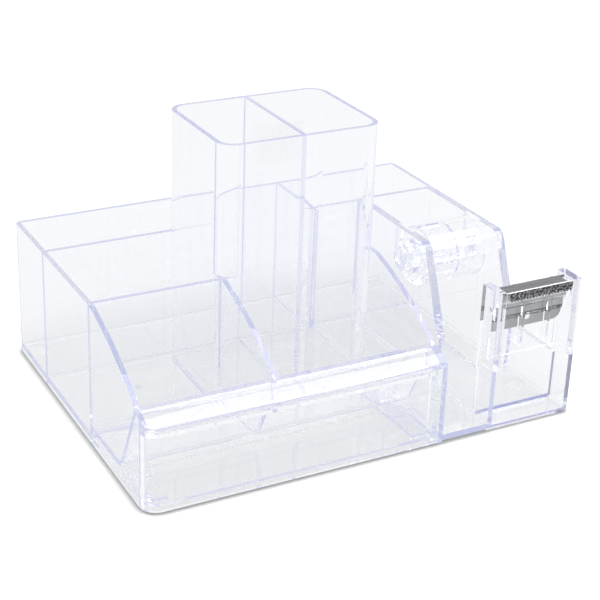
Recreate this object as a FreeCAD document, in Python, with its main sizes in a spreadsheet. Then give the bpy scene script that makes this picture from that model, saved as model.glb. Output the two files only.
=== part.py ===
import FreeCAD, Part
import math
import os

import Sketcher

# Desk organizer with a tape dispenser and a small front drawer, moulded in clear plastic.
# X runs to the right, Y to the back and Z up. The origin is the middle of the footprint, on the desk.
# All places below are counted from the left face, the front face and the desk; place() moves them there.

document = FreeCAD.newDocument("tape_dispenser_organizer")

DRIVING_DIMENSIONS = [
    # Whole organizer
    ("rear_depth", 34.4),
    ("rim_height", 61.5),
    ("wall", 2.1),
    ("floor_thickness", 2.5),
    ("skirt_gap", 0.5),
    ("front_corner", 6.5),
    ("back_corner", 3.0),
    # Pen cup
    ("cup_left", 56.0),
    ("cup_width", 72.0),
    ("cup_front", 57.0),
    ("cup_depth", 55.6),
    ("cup_height", 117.0),
    ("cup_corner", 8.0),
    # Narrow slot between the cup and the dispenser
    ("slot_width", 21.9),
    # Front compartments: the slope of their dividers, the lip and the trough behind the lip
    ("slope_crest", 56.0),
    ("slope_radius", 140.0),
    ("lip_setback", 9.5),
    ("lip_height", 40.0),
    ("nose_height", 34.7),
    ("nose_radius", 14.0),
    ("trough_setback", 26.5),
    ("trough_height", 8.4),
    ("trough_back", 8.2),
    ("trough_round", 6.0),
    # Drawer bay and drawer
    ("ledge_width", 9.0),
    ("ledge_thickness", 1.2),
    ("drawer_gap", 0.3),
    ("slide_gap", 0.1),
    ("drawer_plate", 1.2),
    ("tray_wall", 1.4),
    ("tray_depth", 22.0),
    ("tray_side_height", 4.0),
    ("runner_length", 53.0),
    # Dispenser cheeks
    ("dispenser_width", 40.1),
    ("cheek_crest", 55.3),
    ("cheek_toe", 40.6),
    ("cheek_low", 23.6),
    ("cheek_round", 5.0),
    ("cheek_tongue", 1.2),
    ("cheek_thickness", 3.8),
    # Hub
    ("hub_setback", 74.4),
    ("hub_height", 47.4),
    ("journal_radius", 5.2),
    ("slot_clearance", 0.3),
    ("axle_collar_radius", 7.8),
    ("axle_collar_width", 4.2),
    ("axle_end_gap", 0.4),
    ("collar_gap", 1.2),
    ("drum_radius", 13.0),
    ("drum_wall", 1.6),
    ("drum_tube_wall", 1.2),
    ("drum_running_gap", 0.08),
    ("drum_end_gap", 0.4),
    ("drum_rim_radius", 13.5),
    ("drum_rim_width", 1.6),
    ("drum_slit_width", 1.6),
    ("drum_slit_angle", 90.0),
    # Blade holder and blade
    ("holder_depth", 12.0),
    ("holder_front", 0.5),
    ("holder_plate", 3.8),
    ("holder_step", 26.6),
    ("holder_gap", 0.2),
    ("holder_foot", 2.0),
    ("bar_front", 0.9),
    ("bar_height", 6.5),
    ("skirt_height", 6.3),
    ("skirt_thickness", 1.6),
    ("panel_thickness", 1.6),
    ("panel_drop", 31.5),
    ("rib_thickness", 1.2),
    ("rib_drop", 26.5),
    ("rib_left_offset", 10.4),
    ("rib_spacing", 12.6),
    ("blade_thickness", 0.6),
    ("blade_gap", 0.1),
    ("blade_length", 31.4),
    ("blade_flat_length", 28.8),
    ("blade_lip_inset", 1.4),
    ("blade_lip_length", 30.0),
    ("blade_bend", 0.9),
    ("blade_end_gap", 0.3),
    ("blade_drop", 19.0),
    ("blade_back", 6.5),
    ("blade_lip", 3.2),
    ("tooth_pitch", 1.5),
    ("tooth_depth", 1.3),
    ("blade_corner", 4.0),
    ("pin_radius", 1.5),
    ("pin_clearance", 0.2),
    ("pin_offset", 14.4),
    ("pin_drop", 14.9),
    # Feet
    ("foot_thickness", 1.5),
    ("foot_radius", 4.0),
    ("foot_inset", 8.0),
    ("foot_front_inset", 26.0),
    # Length by which every cutting tool passes the face that it cuts
    ("overrun", 3.0),
]

sheet = document.addObject("Spreadsheet::Sheet", "dims")
for row, (alias, size) in enumerate(DRIVING_DIMENSIONS, start=1):
    sheet.set("A%d" % row, alias)
    sheet.set("B%d" % row, str(size))
    sheet.setAlias("B%d" % row, alias)
document.recompute()

# Derived places, each an expression on the sheet
WIDTH = "(dims.cup_left + dims.cup_width + dims.slot_width + dims.dispenser_width)"
DEPTH = "(dims.cup_front + dims.cup_depth + dims.rear_depth)"
MIDDLE_X = WIDTH + " / 2"
MIDDLE_Y = DEPTH + " / 2"
SKIRT = "dims.skirt_gap"
SLAB = "dims.foot_thickness"
FLOOR = "(dims.foot_thickness + dims.floor_thickness)"
CUP_RIGHT = "(dims.cup_left + dims.cup_width)"
CUP_BACK = "(dims.cup_front + dims.cup_depth)"
CUP_MIDDLE = "(dims.cup_left + (dims.cup_width - dims.wall) / 2)"
WALL_A = "(dims.cup_left + dims.cup_width - dims.wall)"
HOLDER_LEFT = "(dims.cup_left + dims.cup_width + dims.slot_width)"
BAY_LEFT = "(%s + dims.holder_plate)" % HOLDER_LEFT
BAY_RIGHT = "(%s - dims.holder_plate)" % WIDTH
HOLDER_BACK = "(dims.holder_depth - dims.holder_gap)"
CHEEK_FRONT = "(dims.holder_depth - dims.cheek_tongue)"
LEDGE_TOP = "(dims.foot_thickness + dims.ledge_thickness)"
TRAY_BOTTOM = "(%s + dims.slide_gap)" % LEDGE_TOP
TRAY_TOP = "(%s + dims.drawer_plate)" % TRAY_BOTTOM
SIDE_TOP = "(%s + dims.tray_side_height)" % TRAY_TOP
DRAWER_LEFT = "(dims.wall + dims.drawer_gap)"
DRAWER_RIGHT = "(dims.cup_left + dims.cup_width - dims.wall - dims.drawer_gap)"
CHEEK_OUTSIDE = "(%s - dims.cheek_thickness)" % BAY_LEFT
CHEEK_INSIDE = "(%s - dims.cheek_thickness)" % WIDTH
GROOVE_LEFT = "(%s + dims.wall)" % CHEEK_OUTSIDE
GROOVE_RIGHT = "(%s - dims.wall)" % WIDTH
SLOT_HALF = "(dims.journal_radius + dims.slot_clearance)"
BLADE_LEFT = "(%s + dims.blade_end_gap)" % BAY_LEFT
BLADE_PLATE_FRONT = "(dims.blade_back - dims.blade_thickness)"
BAR_TOP = "(dims.rim_height - dims.blade_thickness - dims.blade_gap)"
PIN_HEIGHT = "(dims.rim_height - dims.pin_drop)"

DIRECTIONS = {
    "XY": ((1, 0, 0), (0, 1, 0), (0, 0, 1)),
    "YZ": ((0, 1, 0), (0, 0, 1), (1, 0, 0)),
    "XZ": ((1, 0, 0), (0, 0, 1), (0, 1, 0)),
}
START_INDEX = 1
END_INDEX = 2
ORIGIN = (-1, 1)
FULL_TURN = 360
RIB_COUNT = 2
LEFT = "left"
RIGHT = "right"


def value(expression):
    """Number that an expression on the sheet has now."""
    return float(sheet.evalExpression(expression))


def vector(direction):
    return FreeCAD.Vector(*direction)


def place(item, x="0", y="0", z="0"):
    """Binds the place of an object, counted from the left face, the front face and the desk."""
    item.setExpression("Placement.Base.x", "%s - %s" % (x, MIDDLE_X))
    item.setExpression("Placement.Base.y", "%s - %s" % (y, MIDDLE_Y))
    item.setExpression("Placement.Base.z", z)
    return item


def box(name, x, y, z):
    """Block between two expressions on each axis."""
    item = document.addObject("Part::Box", name)
    for side, (low, high) in (("Length", x), ("Width", y), ("Height", z)):
        item.setExpression(side, "%s - %s" % (high, low))
    return place(item, x[0], y[0], z[0])


def cylinder(name, axis, radius, x, y, z, length):
    """Cylinder along X, Y or Z that starts at the given place."""
    item = document.addObject("Part::Cylinder", name)
    item.setExpression("Radius", radius)
    item.setExpression("Height", length)
    turn = FreeCAD.Rotation(FreeCAD.Vector(0, 0, 1), vector(axis))
    item.Placement = FreeCAD.Placement(FreeCAD.Vector(), turn)
    return place(item, x, y, z)


def counterclockwise_arc(start, end, radius):
    """Arc that turns left all the way from start to end, over less than half a circle."""
    chord = end - start
    half = chord.Length / 2
    sagitta = radius - math.sqrt(max(radius ** 2 - half ** 2, 0))
    right = FreeCAD.Vector(chord.y, -chord.x, 0).normalize()
    return Part.Arc(start, (start + end) / 2 + right * sagitta, end)


def draw_profile(sketch, points, arcs):
    """Draws a closed outline. arcs maps the number of a segment to its radius and to LEFT or RIGHT,
    the side of the way round to which it bulges."""
    corners = [FreeCAD.Vector(value(u), value(v), 0) for u, v in points]
    starts = []
    ends = []
    for number, corner in enumerate(corners):
        following = corners[(number + 1) % len(corners)]
        if number in arcs:
            radius, side = arcs[number]
            forward = side == RIGHT
            ends_of_arc = (corner, following) if forward else (following, corner)
            index = sketch.addGeometry(counterclockwise_arc(*ends_of_arc, value(radius)))
            constraint = sketch.addConstraint(Sketcher.Constraint("Radius", index, value(radius)))
            sketch.setExpression("Constraints[%d]" % constraint, radius)
        else:
            index = sketch.addGeometry(Part.LineSegment(corner, following))
            forward = True
        starts.append((index, START_INDEX if forward else END_INDEX))
        ends.append((index, END_INDEX if forward else START_INDEX))
    for number, (u, v) in enumerate(points):
        sketch.addConstraint(Sketcher.Constraint("Coincident", *ends[number - 1], *starts[number]))
        for kind, expression in (("DistanceX", u), ("DistanceY", v)):
            rule = Sketcher.Constraint(kind, *ORIGIN, *starts[number], value(expression))
            constraint = sketch.addConstraint(rule)
            sketch.setExpression("Constraints[%d]" % constraint, expression)


def prism(name, plane, points, start, end, arcs=None):
    """Outline in a main plane, extruded between two expressions along the plane's normal."""
    right, up, normal = DIRECTIONS[plane]
    sketch = document.addObject("Sketcher::SketchObject", name + "_outline")
    turn = FreeCAD.Rotation(vector(right), vector(up), vector(right).cross(vector(up)), "XYZ")
    sketch.Placement = FreeCAD.Placement(FreeCAD.Vector(), turn)
    draw_profile(sketch, points, arcs or {})
    place(sketch, *[start if along else "0" for along in normal])
    item = document.addObject("Part::Extrusion", name)
    item.Base = sketch
    item.DirMode = "Custom"
    item.Dir = vector(normal)
    item.Solid = True
    item.setExpression("LengthFwd", "%s - %s" % (end, start))
    return item


def fuse(name, shapes):
    item = document.addObject("Part::MultiFuse", name)
    item.Shapes = shapes
    return item


def cut(name, base, tool):
    item = document.addObject("Part::Cut", name)
    item.Base = base
    item.Tool = tool
    return item


def common(name, shapes):
    item = document.addObject("Part::MultiCommon", name)
    item.Shapes = shapes
    return item


def refined(name, source):
    """Final shape of a sub-part, with the seams between its blocks merged."""
    item = document.addObject("Part::Refine", name)
    item.Source = source
    item.Label = name
    return item


def round_edges(name, base, radius, chosen):
    """Fillet on the edges for which chosen(edge) is true."""
    document.recompute()
    item = document.addObject("Part::Fillet", name)
    item.Base = base
    size = value(radius)
    edges = enumerate(base.Shape.Edges, start=1)
    item.Edges = [(number, size, size) for number, edge in edges if chosen(edge)]
    return item


def near_any(points):
    """Test that picks the edges along X through any of the given points, each a Y and a Z expression."""
    corners = [(value("%s - %s" % (y, MIDDLE_Y)), value(z)) for y, z in points]

    def near(edge):
        middle = edge.CenterOfMass
        return any(math.hypot(middle.y - y, middle.z - z) < value("dims.wall") / 2 for y, z in corners)

    return near


def rounded_rectangle(left, front, right, back, front_left, front_right, back_right, back_left):
    """Points and arcs of a rectangle whose corner radii are expressions, or None for a square corner."""
    corners = [
        (left, front, front_left, (0, 1), (1, 0)),
        (right, front, front_right, (-1, 0), (0, 1)),
        (right, back, back_right, (0, -1), (-1, 0)),
        (left, back, back_left, (1, 0), (0, -1)),
    ]
    points = []
    arcs = {}
    for x, y, radius, entry, leave in corners:
        if radius is None:
            points.append((x, y))
            continue
        arcs[len(points)] = (radius, RIGHT)
        for step_x, step_y in (entry, leave):
            points.append(("%s + %d * %s" % (x, step_x, radius), "%s + %d * %s" % (y, step_y, radius)))
    return points, arcs


def front_arcs(nose, slope):
    """Numbers of the segments that curve: the nose over the drawer and the slope of the dividers."""
    return {nose: ("dims.nose_radius", LEFT), slope: ("dims.slope_radius", LEFT)}


def sloped_wall(name, low, high, front_bottom, back):
    """Upright wall along Y: over the nose, up the slope and along the rim to its back edge."""
    below_nose = [(front_bottom, SKIRT)]
    if front_bottom != "0":
        below_nose.append((front_bottom, "dims.nose_height"))
    nose = len(below_nose)
    points = below_nose + [
        ("0", "dims.nose_height"),
        ("dims.lip_setback", "dims.lip_height"),
        ("dims.slope_crest", "dims.rim_height"),
        (back, "dims.rim_height"),
        (back, SKIRT),
    ]
    return prism(name, "YZ", points, low, high, front_arcs(nose, nose + 1))


def trough_divider():
    """Slanted divider between the two front compartments, in the plane of the cup's left wall."""
    back = "dims.cup_front + dims.cup_corner"
    bottom = "(dims.trough_height - dims.wall / 4)"
    points = [
        ("dims.lip_setback", "dims.lip_height"),
        ("dims.slope_crest", "dims.rim_height"),
        (back, "dims.rim_height"),
        (back, bottom),
        ("dims.trough_setback", bottom),
    ]
    slope = {0: ("dims.slope_radius", LEFT)}
    return prism("trough_divider", "YZ", points, "dims.cup_left", "dims.cup_left + dims.wall", slope)


def front_shell():
    """Nose over the drawer, leaning front wall and raised floor of the front compartments, as one skin."""
    points = [
        ("0", "dims.nose_height"),
        ("dims.lip_setback", "dims.lip_height"),
        ("dims.lip_setback + dims.wall", "dims.lip_height"),
        ("dims.trough_setback", "dims.trough_height"),
        ("dims.cup_front", "dims.trough_back"),
        ("dims.cup_front", "dims.trough_back - dims.wall"),
        ("dims.trough_setback - dims.wall / 2", "dims.trough_height - dims.wall"),
        ("dims.lip_setback + dims.wall / 2", "dims.lip_height - dims.wall"),
        ("dims.wall", "dims.nose_height"),
    ]
    blank = prism("front_shell_blank", "YZ", points, "0", CUP_RIGHT, {0: ("dims.nose_radius", LEFT)})
    inside, outside = points[3], points[6]
    hollow = round_edges("front_shell_hollow", blank, "dims.trough_round", near_any([inside]))
    return round_edges("front_shell", hollow, "(dims.trough_round + dims.wall)", near_any([outside]))


def cheek(name, low, high, back, thin_face):
    """Side of the dispenser: full height behind, a steep slope and a thinner, low part in front."""
    points = [
        (CHEEK_FRONT, SKIRT),
        (CHEEK_FRONT, "dims.cheek_low"),
        ("dims.cheek_toe", "dims.cheek_low"),
        ("dims.cheek_crest", "dims.rim_height"),
        (back, "dims.rim_height"),
        (back, SKIRT),
    ]
    blank = prism(name + "_blank", "YZ", points, low, high)
    rounded = round_edges(name + "_rounded", blank, "dims.cheek_round", near_any(points[2:4]))
    relief = box(name + "_relief", thin_face, ("(%s - dims.overrun)" % CHEEK_FRONT, "dims.cheek_toe"),
                 ("(dims.skirt_gap - dims.overrun)", "(dims.rim_height + dims.overrun)"))
    return cut(name, rounded, relief)


def pen_cup():
    """Tall rounded cup with a divider across its width, standing through the organizer."""
    corner = "dims.cup_corner"
    outer_points, outer_arcs = rounded_rectangle(
        "dims.cup_left", "dims.cup_front", CUP_RIGHT, CUP_BACK, corner, corner, corner, corner)
    outer = prism("cup_outside", "XY", outer_points, SKIRT, "dims.cup_height", outer_arcs)
    inner = "(dims.cup_corner - dims.wall)"
    inner_points, inner_arcs = rounded_rectangle(
        "(dims.cup_left + dims.wall)", "(dims.cup_front + dims.wall)", "(%s - dims.wall)" % CUP_RIGHT,
        "(%s - dims.wall)" % CUP_BACK, inner, inner, inner, inner)
    above = prism("cup_inside", "XY", inner_points, FLOOR, "dims.cup_height + dims.overrun", inner_arcs)
    below = prism("cup_underside", "XY", inner_points, SKIRT + " - dims.overrun", SLAB, inner_arcs)
    divider = box(
        "cup_divider",
        (CUP_MIDDLE, "(%s + dims.wall)" % CUP_MIDDLE),
        ("(dims.cup_front + dims.wall / 2)", "(%s - dims.wall / 2)" % CUP_BACK),
        (SLAB, "dims.cup_height"),
    )
    shell = cut("cup_shell", outer, fuse("cup_hollows", [above, below]))
    return fuse("pen_cup", [shell, divider])


def organizer_body():
    """The one-piece clear moulding: rim walls, dividers, raised front, cup and dispenser cheeks."""
    outline, arcs = rounded_rectangle(
        "0", "0", WIDTH, DEPTH,
        "dims.front_corner", None, "dims.back_corner", "dims.back_corner")
    envelope = prism("envelope", "XY", outline, SKIRT, "dims.rim_height", arcs)
    rise = (SKIRT, "dims.rim_height")
    divider_back = ("(%s - dims.wall)" % CUP_BACK, CUP_BACK)
    full_width = ("0", WIDTH)
    walls = [
        box("back_wall", full_width, ("(%s - dims.wall)" % DEPTH, DEPTH), rise),
        box("long_divider", full_width, divider_back, rise),
        box("left_divider", ("0", "(dims.cup_left + dims.cup_corner)"),
            ("dims.cup_front", "(dims.cup_front + dims.wall)"), rise),
        box("rear_cross_divider", (WALL_A, CUP_RIGHT),
            ("(%s - dims.cup_corner)" % CUP_BACK, DEPTH), rise),
        sloped_wall("left_wall", "0", "dims.wall", "dims.front_corner", DEPTH),
        sloped_wall("middle_wall", WALL_A, CUP_RIGHT, "0", "(dims.cup_front + dims.cup_corner)"),
        trough_divider(),
        front_shell(),
        cheek("left_cheek", CHEEK_OUTSIDE, BAY_LEFT, CUP_BACK,
              (GROOVE_LEFT, "(%s + dims.overrun)" % BAY_LEFT)),
        cheek("right_cheek", CHEEK_INSIDE, WIDTH, CUP_BACK,
              ("(%s - dims.overrun)" % CHEEK_INSIDE, GROOVE_RIGHT)),
        box("rear_right_wall", (GROOVE_RIGHT, WIDTH), ("(%s - dims.wall)" % CUP_BACK, DEPTH), rise),
    ]
    slab = (SLAB, FLOOR)
    floors = [
        box("rear_floor", full_width, ("dims.cup_front", DEPTH), slab),
        box("dispenser_floor", (WALL_A, WIDTH), (CHEEK_FRONT, "dims.cup_front"), slab),
        box("slot_floor", (WALL_A, "(%s - dims.holder_gap)" % HOLDER_LEFT), ("0", CHEEK_FRONT), slab),
    ]
    ledge_run = ("dims.front_corner", "dims.cup_front")
    ledges = [
        box("left_ledge", ("0", "(dims.wall + dims.ledge_width)"), ledge_run, (SLAB, LEDGE_TOP)),
        box("right_ledge", ("(%s - dims.ledge_width)" % WALL_A, CUP_RIGHT), ledge_run, (SLAB, LEDGE_TOP)),
    ]
    low_body = common("low_body", [envelope, fuse("plates", walls + floors + ledges)])
    cup_core = cup_clearance()
    whole = fuse("body_with_cup", [cut("body_round_cup", low_body, cup_core), pen_cup()])
    span = (GROOVE_LEFT, GROOVE_RIGHT)
    slot = box("hub_groove", span,
               ("(dims.hub_setback - %s)" % SLOT_HALF, "(dims.hub_setback + %s)" % SLOT_HALF),
               ("dims.hub_height", "(dims.rim_height + dims.overrun)"))
    seat = cylinder("hub_seat", (1, 0, 0), SLOT_HALF, span[0], "dims.hub_setback", "dims.hub_height",
                    "%s - %s" % (span[1], span[0]))
    refined("organizer_body", cut("body_with_grooves", whole, fuse("hub_grooves", [slot, seat])))


def cup_clearance():
    """Block that keeps the dividers and floor out of the cup's own hollows."""
    half = "dims.wall / 2"
    inset = "(dims.cup_corner - %s)" % half
    points, arcs = rounded_rectangle(
        "(dims.cup_left + %s)" % half, "(dims.cup_front + %s)" % half, "(%s - %s)" % (CUP_RIGHT, half),
        "(%s - %s)" % (CUP_BACK, half), inset, inset, inset, inset)
    low = SKIRT + " - dims.overrun"
    return prism("cup_clearance", "XY", points, low, "dims.cup_height + dims.overrun", arcs)


def drawer():
    """Front panel that wraps round the left corner, with a low tray and two runners behind it."""
    heights = ("(dims.skirt_gap + dims.drawer_gap)", "(dims.nose_height - dims.drawer_gap)")
    outer, outer_arcs = rounded_rectangle(
        "0", "0", CUP_RIGHT, "dims.cup_front", "dims.front_corner", None, None, None)
    corner = "(dims.front_corner - dims.wall)"
    inner, inner_arcs = rounded_rectangle(
        "dims.wall", "dims.wall", CUP_RIGHT + " + dims.overrun", "dims.cup_front + dims.overrun",
        corner, None, None, None)
    inner_heights = (heights[0] + " - dims.overrun", heights[1] + " + dims.overrun")
    band = cut("front_band", prism("front_outside", "XY", outer, *heights, outer_arcs),
               prism("front_inside", "XY", inner, *inner_heights, inner_arcs))
    keep = box("front_reach", ("0", DRAWER_RIGHT), ("0", "(dims.front_corner - dims.drawer_gap)"), heights)
    front = common("drawer_front", [band, keep])
    side = box("drawer_return", ("(%s - dims.wall)" % DRAWER_RIGHT, DRAWER_RIGHT),
               ("(dims.wall / 2)", "(dims.front_corner - dims.drawer_gap)"), heights)
    middle = "(dims.wall / 2)"
    plate_rise = (TRAY_BOTTOM, TRAY_TOP)
    side_rise = (TRAY_BOTTOM, SIDE_TOP)
    tray_run = (middle, "dims.tray_depth")
    runner_run = ("(dims.tray_depth - dims.tray_wall)", "dims.runner_length")
    width = "(dims.ledge_width - dims.drawer_gap)"
    left_wall = (DRAWER_LEFT, "(%s + dims.tray_wall)" % DRAWER_LEFT)
    right_wall = ("(%s - dims.tray_wall)" % DRAWER_RIGHT, DRAWER_RIGHT)
    back_wall = ("(dims.tray_depth - dims.tray_wall)", "dims.tray_depth")
    plates = [
        box("tray_floor", (DRAWER_LEFT, DRAWER_RIGHT), tray_run, plate_rise),
        box("tray_left", left_wall, ("dims.wall", "dims.tray_depth"), side_rise),
        box("tray_right", right_wall, tray_run, side_rise),
        box("tray_back", (DRAWER_LEFT, DRAWER_RIGHT), back_wall, side_rise),
        box("left_runner", (DRAWER_LEFT, "(%s + %s)" % (DRAWER_LEFT, width)), runner_run, plate_rise),
        box("right_runner", ("(%s - %s)" % (DRAWER_RIGHT, width), DRAWER_RIGHT), runner_run, plate_rise),
    ]
    refined("drawer", fuse("drawer_pieces", [front, side] + plates))


def blade_holder():
    """Clear frame in front of the dispenser that carries the blade between two upright plates."""
    depth = ("dims.holder_front", HOLDER_BACK)
    rise = (SKIRT, "dims.rim_height")
    inside = (BAY_LEFT, BAY_RIGHT)
    bar_bottom = "(%s - dims.bar_height)" % BAR_TOP
    bar_back = "(%s - dims.blade_gap)" % BLADE_PLATE_FRONT
    skirt_front = "(%s - dims.skirt_thickness)" % bar_back
    skirt_bottom = "(%s - dims.skirt_height)" % bar_bottom
    panel_front = "(dims.blade_back + dims.blade_gap)"
    panel_back = "(%s + dims.panel_thickness)" % panel_front
    thick_rise = ("dims.holder_step", "dims.rim_height")
    pieces = [
        box("left_plate", (HOLDER_LEFT, "(%s + dims.wall)" % HOLDER_LEFT), depth, rise),
        box("left_block", (HOLDER_LEFT, BAY_LEFT), depth, thick_rise),
        box("right_plate", (GROOVE_RIGHT, WIDTH), depth, rise),
        box("right_block", (BAY_RIGHT, WIDTH), depth, thick_rise),
        box("holder_floor", (HOLDER_LEFT, WIDTH), depth, (SKIRT, "(dims.skirt_gap + dims.holder_foot)")),
        box("cross_bar", inside, ("dims.bar_front", bar_back), (bar_bottom, BAR_TOP)),
        box("bar_skirt", inside, (skirt_front, bar_back), (skirt_bottom, BAR_TOP)),
        box("back_panel", inside, (panel_front, panel_back), ("(dims.rim_height - dims.panel_drop)", BAR_TOP)),
    ]
    rib_front = "(%s - dims.rib_thickness)" % skirt_front
    rib_bottom = "(dims.rim_height - dims.rib_drop)"
    rib_foot_top = "(dims.rim_height - dims.blade_drop - dims.blade_end_gap)"
    for number in range(RIB_COUNT):
        left = "(%s + dims.rib_left_offset + %d * dims.rib_spacing)" % (BAY_LEFT, number)
        across = (left, "(%s + dims.rib_thickness)" % left)
        pieces.append(box("rib_%d" % number, across, (rib_front, bar_back), (rib_bottom, bar_bottom)))
        pieces.append(box("rib_foot_%d" % number, across, (rib_front, panel_front),
                          (rib_bottom, rib_foot_top)))
    pin_start = "(%s - dims.blade_gap)" % BLADE_PLATE_FRONT
    pin_length = "%s - %s + dims.panel_thickness / 2" % (panel_front, pin_start)
    pieces.append(cylinder("locating_pin", (0, 1, 0), "dims.pin_radius",
                           "(%s + dims.pin_offset)" % BLADE_LEFT, pin_start, PIN_HEIGHT, pin_length))
    rebate = box("holder_rebate", ("(%s - dims.overrun)" % HOLDER_LEFT, "(%s + dims.overrun)" % WIDTH),
                 ("(%s - dims.slide_gap)" % CHEEK_FRONT, "dims.holder_depth"),
                 ("(dims.skirt_gap - dims.overrun)", "(dims.cheek_low + dims.slide_gap)"))
    refined("blade_holder", cut("holder_with_rebate", fuse("holder_pieces", pieces), rebate))


def cutting_blade():
    """Bent steel strip: a back plate, a flat top and a toothed lip in front of the cross bar."""
    front = "(dims.bar_front - dims.blade_gap - dims.blade_thickness)"
    right = "(%s + dims.blade_length)" % BLADE_LEFT
    top = "dims.rim_height"
    bottom = "(dims.rim_height - dims.blade_drop)"
    plate_points, plate_arcs = rounded_rectangle(
        BLADE_LEFT, bottom, right, top, None, "dims.blade_corner", None, None)
    plate = prism("blade_plate", "XZ", plate_points, BLADE_PLATE_FRONT, "dims.blade_back", plate_arcs)
    hole = cylinder("blade_hole", (0, 1, 0), "dims.pin_radius + dims.pin_clearance",
                    "(%s + dims.pin_offset)" % BLADE_LEFT, "(%s - dims.overrun)" % BLADE_PLATE_FRONT,
                    PIN_HEIGHT, "2 * dims.overrun")
    lip_left = "(%s + dims.blade_lip_inset)" % BLADE_LEFT
    lip_right = "(%s + dims.blade_lip_length)" % lip_left
    flat = box("blade_flat", (BLADE_LEFT, "(%s + dims.blade_flat_length)" % BLADE_LEFT),
               (front, "dims.blade_back"),
               ("(dims.rim_height - dims.blade_thickness)", top))
    teeth = []
    gum = "(dims.rim_height - dims.blade_lip)"
    tip = "(%s - dims.tooth_depth)" % gum
    count = int(value("dims.blade_lip_length") / value("dims.tooth_pitch"))
    for number in range(count):
        start = "(%s + %d * dims.tooth_pitch)" % (lip_left, number)
        teeth += [(start, gum), ("%s + dims.tooth_pitch / 2" % start, tip)]
    last = "(%s + %d * dims.tooth_pitch)" % (lip_left, count)
    lip_points = teeth + [(last, gum)]
    if value("dims.blade_lip_length") - count * value("dims.tooth_pitch") > value("dims.blade_gap"):
        lip_points.append((lip_right, gum))
    lip_points += [(lip_right, top), (lip_left, top)]
    lip = prism("blade_lip", "XZ", lip_points, front, "(%s + dims.blade_thickness)" % front)
    sheet_metal = document.addObject("Part::Refine", "blade_sheet")
    sheet_metal.Source = fuse("blade_pieces", [plate, flat, lip])
    document.recompute()
    bend_y = value("%s - %s" % (front, MIDDLE_Y))
    bend_z = value(top)

    def at_bend(edge):
        middle = edge.CenterOfMass
        along_x = edge.BoundBox.XLength > value("dims.blade_lip")
        return along_x and math.hypot(middle.y - bend_y, middle.z - bend_z) < value("dims.blade_gap")

    bent = round_edges("blade_bent", sheet_metal, "dims.blade_bend", at_bend)
    refined("cutting_blade", cut("blade_drilled", bent, hole))


def body_plane(body, role):
    return next(item for item in body.Origin.OriginFeatures if item.Role == role)


def turned(name, points):
    """Body turned about its own X axis. Points are places along the axis and radii."""
    body = document.addObject("PartDesign::Body", name)
    body.Label = name
    sketch = body.newObject("Sketcher::SketchObject", name + "_profile")
    sketch.AttachmentSupport = (body_plane(body, "XY_Plane"), [""])
    sketch.MapMode = "FlatFace"
    draw_profile(sketch, points, {})
    feature = body.newObject("PartDesign::Revolution", name + "_turning")
    feature.Profile = sketch
    feature.ReferenceAxis = (sketch, ["H_Axis"])
    place(body, "0", "dims.hub_setback", "dims.hub_height")
    document.recompute()
    return body


def hub_axle():
    """Axle that lies in the open-topped grooves inside the cheeks, with a collar beside the hub."""
    left = "(%s + dims.axle_end_gap)" % GROOVE_LEFT
    collar_left = "(%s + dims.collar_gap)" % BAY_LEFT
    collar_right = "(%s + dims.axle_collar_width)" % collar_left
    right = "(%s - dims.axle_end_gap)" % GROOVE_RIGHT
    turned("hub_axle", [
        (left, "0"),
        (left, "dims.journal_radius"),
        (collar_left, "dims.journal_radius"),
        (collar_left, "dims.axle_collar_radius"),
        (collar_right, "dims.axle_collar_radius"),
        (collar_right, "dims.journal_radius"),
        (right, "dims.journal_radius"),
        (right, "0"),
    ])


def tape_hub():
    """Drum that takes the core of the tape roll: outer skin, inner tube, a web between them and end rims."""
    collar_right = "(%s + dims.collar_gap + dims.axle_collar_width)" % BAY_LEFT
    left = "(%s + dims.drum_end_gap)" % collar_right
    right = "(%s - dims.drum_end_gap)" % CHEEK_INSIDE
    bore = "(dims.journal_radius + dims.drum_running_gap)"
    tube = "(%s + dims.drum_tube_wall)" % bore
    inner = "(dims.drum_radius - dims.drum_wall)"
    web_left = "((%s + %s - dims.drum_wall) / 2)" % (left, right)
    web_right = "((%s + %s + dims.drum_wall) / 2)" % (left, right)
    rim_start = "(%s - dims.drum_rim_width)" % right
    turned("tape_hub", [
        (left, bore),
        (left, tube),
        (web_left, tube),
        (web_left, inner),
        (left, inner),
        (left, "dims.drum_radius"),
        (rim_start, "dims.drum_radius"),
        (rim_start, "dims.drum_rim_radius"),
        (right, "dims.drum_rim_radius"),
        (right, inner),
        (web_right, inner),
        (web_right, tube),
        (right, tube),
        (right, bore),
    ])
    body = document.getObject("tape_hub")
    sketch = body.newObject("Sketcher::SketchObject", "slit_outline")
    sketch.AttachmentSupport = (body_plane(body, "XY_Plane"), [""])
    sketch.MapMode = "FlatFace"
    draw_profile(sketch, [
        (left, "0"),
        ("%s - dims.drum_wall" % web_left, "0"),
        ("%s - dims.drum_wall" % web_left, "dims.drum_slit_width"),
        (left, "dims.drum_slit_width"),
    ], {})
    slit = body.newObject("PartDesign::Pocket", "slit")
    slit.Profile = sketch
    slit.Type = "Length"
    slit.setExpression("Length", "dims.drum_rim_radius + dims.overrun")
    slit.Reversed = True
    document.recompute()
    pattern = body.newObject("PartDesign::PolarPattern", "slits")
    pattern.Originals = [slit]
    pattern.Axis = (body_plane(body, "X_Axis"), [""])
    pattern.Angle = FULL_TURN
    pattern.setExpression("Occurrences", "%d / dims.drum_slit_angle" % FULL_TURN)
    body.Tip = pattern


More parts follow.
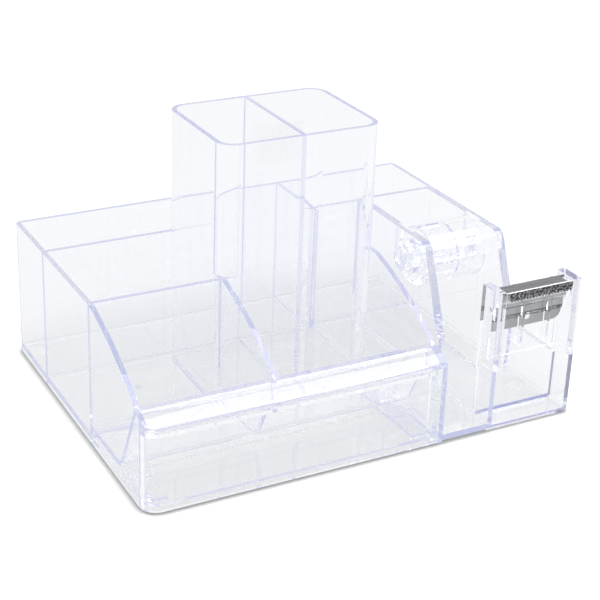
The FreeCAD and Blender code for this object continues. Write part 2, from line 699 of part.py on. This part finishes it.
def feet():
    """Four round pads under the floor slab and the left ledge."""
    far_x = "(%s - dims.foot_inset)" % WIDTH
    far_y = "(%s - dims.foot_inset)" % DEPTH
    places = {
        "foot_front_left": ("(dims.wall + dims.ledge_width / 2)", "dims.foot_front_inset"),
        "foot_front_right": (far_x, "dims.foot_front_inset"),
        "foot_back_left": ("dims.foot_inset", far_y),
        "foot_back_right": (far_x, far_y),
    }
    for name, (x, y) in places.items():
        foot = cylinder(name, (0, 0, 1), "dims.foot_radius", x, y, "0", "dims.foot_thickness")
        foot.Label = name


def check_and_export(names):
    """Stops on any failed object or unsound shape, then writes one STEP file for each sub-part."""
    document.recompute()
    failed = [item.Name for item in document.Objects if {"Invalid", "Error"} & set(item.State)]
    if failed:
        raise RuntimeError("failed objects: " + ", ".join(failed))
    os.makedirs("parts", exist_ok=True)
    for name in names:
        item = document.getObject(name)
        shape = item.Shape
        if shape.isNull() or not shape.isValid():
            raise RuntimeError("unsound shape: " + name)
        if len(shape.Solids) != 1:
            raise RuntimeError("%s has %d solids" % (name, len(shape.Solids)))
        shape.exportStep(os.path.join("parts", item.Label + ".step"))
        bounds = shape.BoundBox
        low = (bounds.XMin, bounds.YMin, bounds.ZMin)
        high = (bounds.XMax, bounds.YMax, bounds.ZMax)
        spans = ["%.1f..%.1f" % pair for pair in zip(low, high)]
        print(name, "%.0f mm3" % shape.Volume, *spans)


organizer_body()
drawer()
blade_holder()
cutting_blade()
hub_axle()
tape_hub()
feet()
check_and_export([
    "organizer_body", "drawer", "blade_holder", "cutting_blade", "hub_axle", "tape_hub",
    "foot_front_left", "foot_front_right", "foot_back_left", "foot_back_right",
])
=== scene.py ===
import bmesh
import bpy
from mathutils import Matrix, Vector

# Clear moulded desk organizer with a tape dispenser: finishes, floor, lights and camera.
# Every shape of the organizer comes from the frame.
# Lengths are in metres. X runs to the right, Y to the back and Z up from the desk.

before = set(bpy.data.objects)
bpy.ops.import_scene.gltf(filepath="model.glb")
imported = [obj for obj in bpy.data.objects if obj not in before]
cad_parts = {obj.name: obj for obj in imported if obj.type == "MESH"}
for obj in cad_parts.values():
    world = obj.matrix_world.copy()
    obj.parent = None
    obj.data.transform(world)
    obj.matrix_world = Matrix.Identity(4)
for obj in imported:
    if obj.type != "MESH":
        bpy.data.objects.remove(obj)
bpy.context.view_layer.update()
scene = bpy.context.scene

# Light passes through many walls one behind another
THROUGH_BOUNCES = 48
GLOSSY_BOUNCES = 24
PIPED_AFTER = 14  # past so many bounces, a wall shows a painted pale violet glow in place of the light piped along it

# Clear plastic. Tones are pairs of colours that a fine noise goes between.
VIOLET = (0.42, 0.46, 0.8)  # what a long way through the plastic leaves of white
VIOLET_DENSITY = 4.5
# Painted glow: a fixed pale violet that stands in for light piped along a wall
PAINTED_PIPED_GLOW = (0.74, 0.76, 0.9)
NEAR_WHITE = ((0.992, 0.994, 1.0), (1.0, 1.0, 1.0))
# Painted shade: a deeper violet on cut ends, standing in for the light's long way along the wall
PAINTED_END_SHADE = ((0.5, 0.52, 0.72), (0.58, 0.6, 0.78))
PLASTIC_IOR = 1.49
HAZE_ROUGHNESS = 0.035
WAVE_DEPTH = 0.0012
BODY_WAVE, HUB_WAVE, HOLDER_WAVE = 0.12, 0.08, 0.03  # strength of the flow waves

# Round gate mark on the floor of the middle left compartment
GATE_MARK = ((0.82, 0.83, 0.92), (0.88, 0.88, 0.95))
GATE_PLACE = (-0.063, 0.0135, 0.004)
GATE_RADIUS = 0.0016

# Front end of the tape bay, where the blade holder meets it. Its end faces get a painted deeper violet shade.
CHEEK_INSIDE = 0.0586  # X of the left cheek's inner face
WALL_INSIDE = 0.0911  # X of the right wall's inner face
FLOOR_TOP = 0.003
BAY_END = -0.0627
HOLDER_BACK = -0.0628
FACE_REACH = 0.00004  # a face counts as being at a place within this distance

# Blade
STEEL_PLATE = ((0.38, 0.39, 0.385), (0.46, 0.47, 0.465))
# Painted shadow: dark line across the plate under the clear bar's lower edge
STEEL_PAINTED_SHADOW = ((0.07, 0.075, 0.075), (0.11, 0.115, 0.115))
# Brushed streaks of the top flat, under a painted darker tone for the dark surroundings it reflects
STEEL_FLAT_PAINTED_SHADE = ((0.17, 0.17, 0.18), (0.3, 0.3, 0.31))
# Painted reflection: dark tone of the lip reflecting dark surroundings, with pale specks as painted glints of the
# tooth tips
STEEL_LIP_PAINTED_REFLECTION = ((0.04, 0.037, 0.045), (0.4, 0.4, 0.42))
# Painted highlight: pale band along the bend between the flat and the lip
STEEL_PAINTED_HIGHLIGHT = ((0.6, 0.6, 0.62), (0.75, 0.75, 0.77))
SHADOW_LINE_BOTTOM, SHADOW_LINE_TOP = 0.0468, 0.049  # painted shadow of the clear bar: a dark line across the plate
FLAT_BOTTOM = 0.0608  # the flat, brushed and with a painted darker tone, lies above
BEND_BOTTOM = 0.0612  # the painted highlight on the bend lies above, and the lip below
HIGHLIGHT_FRONT = -0.0729  # the painted highlight on the bend lies in front
LIP_FRONT = -0.0722  # the lip lies in front

# Feet
RUBBER = ((0.93, 0.93, 0.95), (0.98, 0.98, 1.0))
RUBBER_ALPHA = 0.12
RUBBER_IOR = 1.42

# Floor and world
FLOOR_HALF = 3.0
# Painted contact shadow: the floor turns grey within this distance of the organizer
CONTACT_DISTANCE = 0.0035
PAINTED_CONTACT_SHADOW = (0.2, 0.2, 0.21)
PAPER_SPECKLE = 0.01  # how much paler the pale specks are
PAPER_DIRECT = (0.62, 0.56)  # grey of the paper and its added light, as the camera sees it
PAPER_BENT = (0.25, 0.7)  # the same in reflections and through the plastic
PAPER_BENT_TONE = (0.965, 0.98, 1.0)
WHITE = (1.0, 1.0, 1.0)
WORLD_LIGHT = 0.55  # strength of the world's light on the organizer
WORLD_SEEN = 0.97  # strength of the world where it is seen

# Name, place, width and height, and watts. All point at AIM.
SOFTBOXES = (
    ("key softbox", (-0.9, -0.5, 1.3), (0.9, 0.9), 9.0),
    ("fill softbox", (1.1, -0.9, 0.9), (0.7, 0.7), 3.0),
    ("top softbox", (0.52, -0.3, 1.15), (0.8, 0.7), 7.0),
)
AIM = (0, 0, 0.05)


class Nodes:
    """Short calls for the nodes that the finishes and the world share."""

    def __init__(self, tree):
        self.tree = tree

    def add(self, kind, **settings):
        """New node. A setting is a property of the node, or a number, colour or output for one of its sockets."""
        node = self.tree.nodes.new(kind)
        for key, setting in settings.items():
            if hasattr(node, key):
                setattr(node, key, setting)
            else:
                self.feed(setting, node.inputs[key.replace("_", " ")])
        return node

    def feed(self, setting, socket):
        if isinstance(setting, bpy.types.NodeSocket):
            self.tree.links.new(setting, socket)
        else:
            socket.default_value = setting

    def math(self, operation, first, second):
        node = self.add("ShaderNodeMath", operation=operation)
        self.feed(first, node.inputs[0])
        self.feed(second, node.inputs[1])
        return node.outputs[0]

    def both(self, first, second):
        return self.math("MULTIPLY", first, second)

    def either(self, first, second):
        return self.math("MAXIMUM", first, second)

    def span(self, source, low, high, start=0.0, end=1.0):
        """Number that goes from low to high while the source goes from start to end."""
        span = self.add(
            "ShaderNodeMapRange", Value=source, From_Min=start, From_Max=end, To_Min=low, To_Max=high
        )
        return span.outputs["Result"]

    def ramp(self, source, start, end, tones):
        """Colour that goes from the first tone to the second while the source goes from start to end."""
        ramp = self.add("ShaderNodeValToRGB", Fac=source)
        for element, place, tone in zip(ramp.color_ramp.elements, (start, end), tones):
            element.position = place
            element.color = (*tone, 1)
        return ramp.outputs["Color"]

    def glow(self, colour, strength=1.0):
        return self.add("ShaderNodeEmission", Color=(*colour, 1), Strength=strength).outputs[0]

    def blend(self, factor, first, second):
        """Shader that goes from the first to the second with the factor."""
        blend = self.add("ShaderNodeMixShader")
        for source, socket in zip((factor, first, second), blend.inputs):
            self.feed(source, socket)
        return blend.outputs[0]


class Finish(Nodes):
    """A node material whose patterns lie in space."""

    def __init__(self, name):
        self.material = bpy.data.materials.new(name)
        self.material.use_nodes = True
        super().__init__(self.material.node_tree)
        self.tree.nodes.clear()
        self.output = self.add("ShaderNodeOutputMaterial")
        self.place = self.add("ShaderNodeTexCoord").outputs["Object"]

    def noise(self, scale, detail=2.0, roughness=0.5, stretch=(1, 1, 1)):
        """Noise in space, finer or longer along each axis by stretch."""
        place = self.add("ShaderNodeMapping", Scale=stretch, Vector=self.place).outputs["Vector"]
        noise = self.add("ShaderNodeTexNoise", Scale=scale, Detail=detail, Roughness=roughness, Vector=place)
        return noise.outputs["Fac"]

    def along(self, axis):
        return self.add("ShaderNodeSeparateXYZ", Vector=self.place).outputs[axis]

    def above(self, axis, limit):
        """1 where the place along an axis is more than the limit."""
        return self.math("GREATER_THAN", self.along(axis), limit)

    def below(self, axis, limit):
        """1 where the place along an axis is less than the limit."""
        return self.math("LESS_THAN", self.along(axis), limit)

    def at(self, axis, place):
        """1 on the faces that lie at a place along an axis."""
        return self.both(self.above(axis, place - FACE_REACH), self.below(axis, place + FACE_REACH))

    def within(self, middle, radius):
        """1 inside a ball."""
        away = self.add("ShaderNodeVectorMath", operation="DISTANCE")
        self.feed(self.place, away.inputs[0])
        self.feed(middle, away.inputs[1])
        return self.math("LESS_THAN", away.outputs["Value"], radius)

    def mix(self, factor, first, second):
        """Colour that goes from the first to the second with the factor."""
        mix = self.add("ShaderNodeMix", data_type="RGBA")
        for source, socket in ((factor, 0), (first, 6), (second, 7)):
            self.feed(source, mix.inputs[socket])
        return mix.outputs[2]

    def bump(self, height, strength, distance):
        return self.add("ShaderNodeBump", Strength=strength, Distance=distance, Height=height).outputs["Normal"]

    def principled(self, **sockets):
        return self.add("ShaderNodeBsdfPrincipled", **sockets).outputs["BSDF"]

    def show(self, shader):
        self.feed(shader, self.output.inputs["Surface"])


def clear_moulding(name, wave, tinted=None, frosted=False, gate_mark=False):
    """Clear moulded plastic: nearly colourless through a wall, violet-blue along it from the absorbing plastic
    and from a painted pale violet glow where light stays long in a wall, with faint flow waves.

    tinted chooses faces with a painted deeper violet shade, which stands in for the light's long way along
    the wall, by a function of the finish. No light passes them where they are frosted.
    """
    finish = Finish(name)
    flow = finish.noise(26.0, detail=2.0, roughness=0.45, stretch=(1.0, 1.0, 0.6))
    haze = finish.noise(420.0, detail=3.0, roughness=0.6)
    colour = finish.ramp(haze, 0.3, 0.7, NEAR_WHITE)
    through = 1.0
    if tinted:
        # Painted shade: the chosen faces turn a deeper violet
        colour = finish.mix(tinted(finish), colour, finish.ramp(haze, 0.3, 0.7, PAINTED_END_SHADE))
        if frosted:
            through = finish.span(tinted(finish), 1.0, 0.0)
    if gate_mark:
        mark = finish.ramp(haze, 0.3, 0.7, GATE_MARK)
        colour = finish.mix(finish.within(GATE_PLACE, GATE_RADIUS), colour, mark)
    plastic = finish.principled(
        Base_Color=colour,
        Roughness=finish.span(haze, 0.0, HAZE_ROUGHNESS),
        Normal=finish.bump(flow, wave, WAVE_DEPTH),
        IOR=PLASTIC_IOR,
        Transmission_Weight=through,
    )
    # Painted glow: past PIPED_AFTER bounces the plastic shows a fixed pale violet emission in place of the light
    # piped along the wall
    depth = finish.add("ShaderNodeLightPath").outputs["Ray Depth"]
    painted_glow_mask = finish.math("GREATER_THAN", depth, PIPED_AFTER)
    finish.show(finish.blend(painted_glow_mask, plastic, finish.glow(PAINTED_PIPED_GLOW)))
    finish.material.cycles.emission_sampling = "NONE"
    tint = finish.add("ShaderNodeVolumeAbsorption", Color=(*VIOLET, 1), Density=VIOLET_DENSITY)
    finish.feed(tint.outputs["Volume"], finish.output.inputs["Volume"])
    return finish.material


def bay_end(finish):
    """Faces with the painted end shade: the bay's cut end, without the left cheek above the floor."""
    beside = finish.either(finish.above("X", CHEEK_INSIDE), finish.below("Z", FLOOR_TOP))
    return finish.both(finish.at("Y", BAY_END), beside)


def stile_back(finish):
    """Faces with the painted end shade: the back of the blade holder's right stile, against the bay's right wall.
    """
    beside = finish.both(finish.above("X", WALL_INSIDE), finish.above("Z", FLOOR_TOP))
    return finish.both(finish.at("Y", HOLDER_BACK), beside)


def blade_steel():
    """Grey spring steel: brushed on top under a painted darker tone, with a painted dark reflection and painted
    glints of the teeth on the toothed lip, a painted highlight on the bend between, and a painted shadow line
    across the plate.
    """
    finish = Finish("blade steel")
    lines = finish.noise(1400.0, detail=3.0, roughness=0.6, stretch=(0.04, 1.0, 1.0))
    rubs = finish.noise(160.0, detail=4.0, roughness=0.65)
    # Specks for the painted glints of the teeth on the lip
    grain = finish.noise(1050.0, detail=2.0, roughness=0.7)
    colour = finish.ramp(rubs, 0.35, 0.75, STEEL_PLATE)
    # Painted shadow: a dark line across the plate where the clear bar's lower edge meets it
    line = finish.both(finish.above("Z", SHADOW_LINE_BOTTOM), finish.below("Z", SHADOW_LINE_TOP))
    # Painted reflection on the lip: a dark tone for dark surroundings, with pale specks as painted glints of the
    # tooth tips
    lip = finish.both(finish.below("Y", LIP_FRONT), finish.below("Z", BEND_BOTTOM))
    # Painted highlight: a pale band along the bend between the flat and the lip
    bend = finish.both(finish.below("Y", HIGHLIGHT_FRONT), finish.above("Z", BEND_BOTTOM))
    for where, tone in (
        (line, finish.ramp(rubs, 0.3, 0.7, STEEL_PAINTED_SHADOW)),
        # Painted darker tone on the brushed flat, for the dark surroundings it reflects
        (finish.above("Z", FLAT_BOTTOM), finish.ramp(lines, 0.35, 0.7, STEEL_FLAT_PAINTED_SHADE)),
        (lip, finish.ramp(grain, 0.46, 0.64, STEEL_LIP_PAINTED_REFLECTION)),
        (bend, finish.ramp(rubs, 0.3, 0.7, STEEL_PAINTED_HIGHLIGHT)),
    ):
        colour = finish.mix(where, colour, tone)
    steel = finish.principled(
        Base_Color=colour,
        Metallic=1.0,
        Roughness=finish.span(lines, 0.22, 0.42),
        Normal=finish.bump(lines, 0.3, 0.0001),
    )
    finish.show(steel)
    return finish.material


def soft_rubber():
    """Clear soft rubber of the stick-on feet, with a fine grain."""
    finish = Finish("foot rubber")
    grain = finish.noise(1500.0, detail=2.0, roughness=0.6)
    rubber = finish.principled(
        Base_Color=finish.ramp(grain, 0.3, 0.7, RUBBER),
        Roughness=finish.span(grain, 0.25, 0.4),
        Normal=finish.bump(grain, 0.2, 0.0002),
        Transmission_Weight=1.0,
        Alpha=RUBBER_ALPHA,
        IOR=RUBBER_IOR,
    )
    finish.show(rubber)
    return finish.material


def white_floor():
    """White paper: plainly white behind the organizer, with a painted contact shadow, a narrow grey line painted
    by nearness where the organizer touches it.
    """
    finish = Finish("white floor")
    speckle = finish.noise(30.0)
    # Painted shadow: the paper turns grey where the organizer comes within CONTACT_DISTANCE, as the camera sees
    # it
    near = finish.add("ShaderNodeAmbientOcclusion", samples=8, Distance=CONTACT_DISTANCE)
    free = finish.span(near.outputs["AO"], 0.22, 1.0, 0.5, 0.9)
    path = finish.add("ShaderNodeLightPath")
    bent = finish.either(path.outputs["Is Glossy Ray"], path.outputs["Is Transmission Ray"])

    def paper(grey, added, rays, tone=WHITE):
        """Matt paper of a grey, with some light added on the chosen rays."""
        tones = [(shade, shade, shade) for shade in (grey, grey + PAPER_SPECKLE)]
        matt = finish.add("ShaderNodeBsdfDiffuse", Color=finish.ramp(speckle, 0.0, 1.0, tones))
        lit = finish.add("ShaderNodeAddShader")
        finish.feed(matt.outputs[0], lit.inputs[0])
        finish.feed(finish.glow(tone, finish.both(rays, added)), lit.inputs[1])
        return lit.outputs[0]

    direct = finish.blend(free, finish.glow(PAINTED_CONTACT_SHADOW), paper(*PAPER_DIRECT, path.outputs["Is Camera Ray"]))
    finish.show(finish.blend(bent, direct, paper(*PAPER_BENT, bent, PAPER_BENT_TONE)))
    finish.material.cycles.emission_sampling = "NONE"
    return finish.material


def softbox(name, place, size, watts):
    lamp = bpy.data.lights.new(name, "AREA")
    lamp.shape = "RECTANGLE"
    lamp.size, lamp.size_y = size
    lamp.energy = watts
    box = bpy.data.objects.new(name, lamp)
    box.location = place
    box.rotation_euler = (Vector(AIM) - Vector(place)).to_track_quat("-Z", "Y").to_euler()
    scene.collection.objects.link(box)


scene.cycles.max_bounces = THROUGH_BOUNCES
scene.cycles.transmission_bounces = THROUGH_BOUNCES
scene.cycles.glossy_bounces = GLOSSY_BOUNCES

hub_plastic = clear_moulding("clear hub plastic", HUB_WAVE)
finishes = {
    "organizer_body": clear_moulding("clear moulded plastic", BODY_WAVE, bay_end, gate_mark=True),
    "drawer": clear_moulding("clear drawer plastic", BODY_WAVE),
    "blade_holder": clear_moulding("clear holder plastic", HOLDER_WAVE, stile_back, frosted=True),
    "hub_axle": hub_plastic,
    "tape_hub": hub_plastic,
    "cutting_blade": blade_steel(),
}
rubber = soft_rubber()
for name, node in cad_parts.items():
    node.data.materials.clear()
    node.data.materials.append(finishes.get(name, rubber))

mesh = bpy.data.meshes.new("floor")
sheet = bmesh.new()
bmesh.ops.create_grid(sheet, x_segments=1, y_segments=1, size=FLOOR_HALF)
sheet.to_mesh(mesh)
sheet.free()
floor = bpy.data.objects.new("floor", mesh)
scene.collection.objects.link(floor)
floor.data.materials.append(white_floor())

world = bpy.data.worlds.new("studio")
scene.world = world
world.use_nodes = True
sky = Nodes(world.node_tree)
path = sky.add("ShaderNodeLightPath")
mirrored = sky.either(path.outputs["Is Camera Ray"], path.outputs["Is Glossy Ray"])
seen = sky.either(mirrored, path.outputs["Is Transmission Ray"])
background = world.node_tree.nodes["Background"]
background.inputs["Color"].default_value = (*WHITE, 1)
sky.feed(sky.span(seen, WORLD_LIGHT, WORLD_SEEN), background.inputs["Strength"])

for box in SOFTBOXES:
    softbox(*box)

camera_data = bpy.data.cameras.new("camera")
camera = bpy.data.objects.new("camera", camera_data)
camera_data.sensor_width = 36.0
camera_data.lens = 88.465
camera_data.shift_x = 0.0746
camera_data.shift_y = -0.0677
camera_data.clip_start = 0.05
camera_data.clip_end = 20.0
camera.location = (-0.26721, -0.49566, 0.30579)
camera.rotation_euler = (1.153747, -0.021942, -0.45989)
scene.collection.objects.link(camera)
scene.camera = camera
scene.view_settings.view_transform = "Standard"
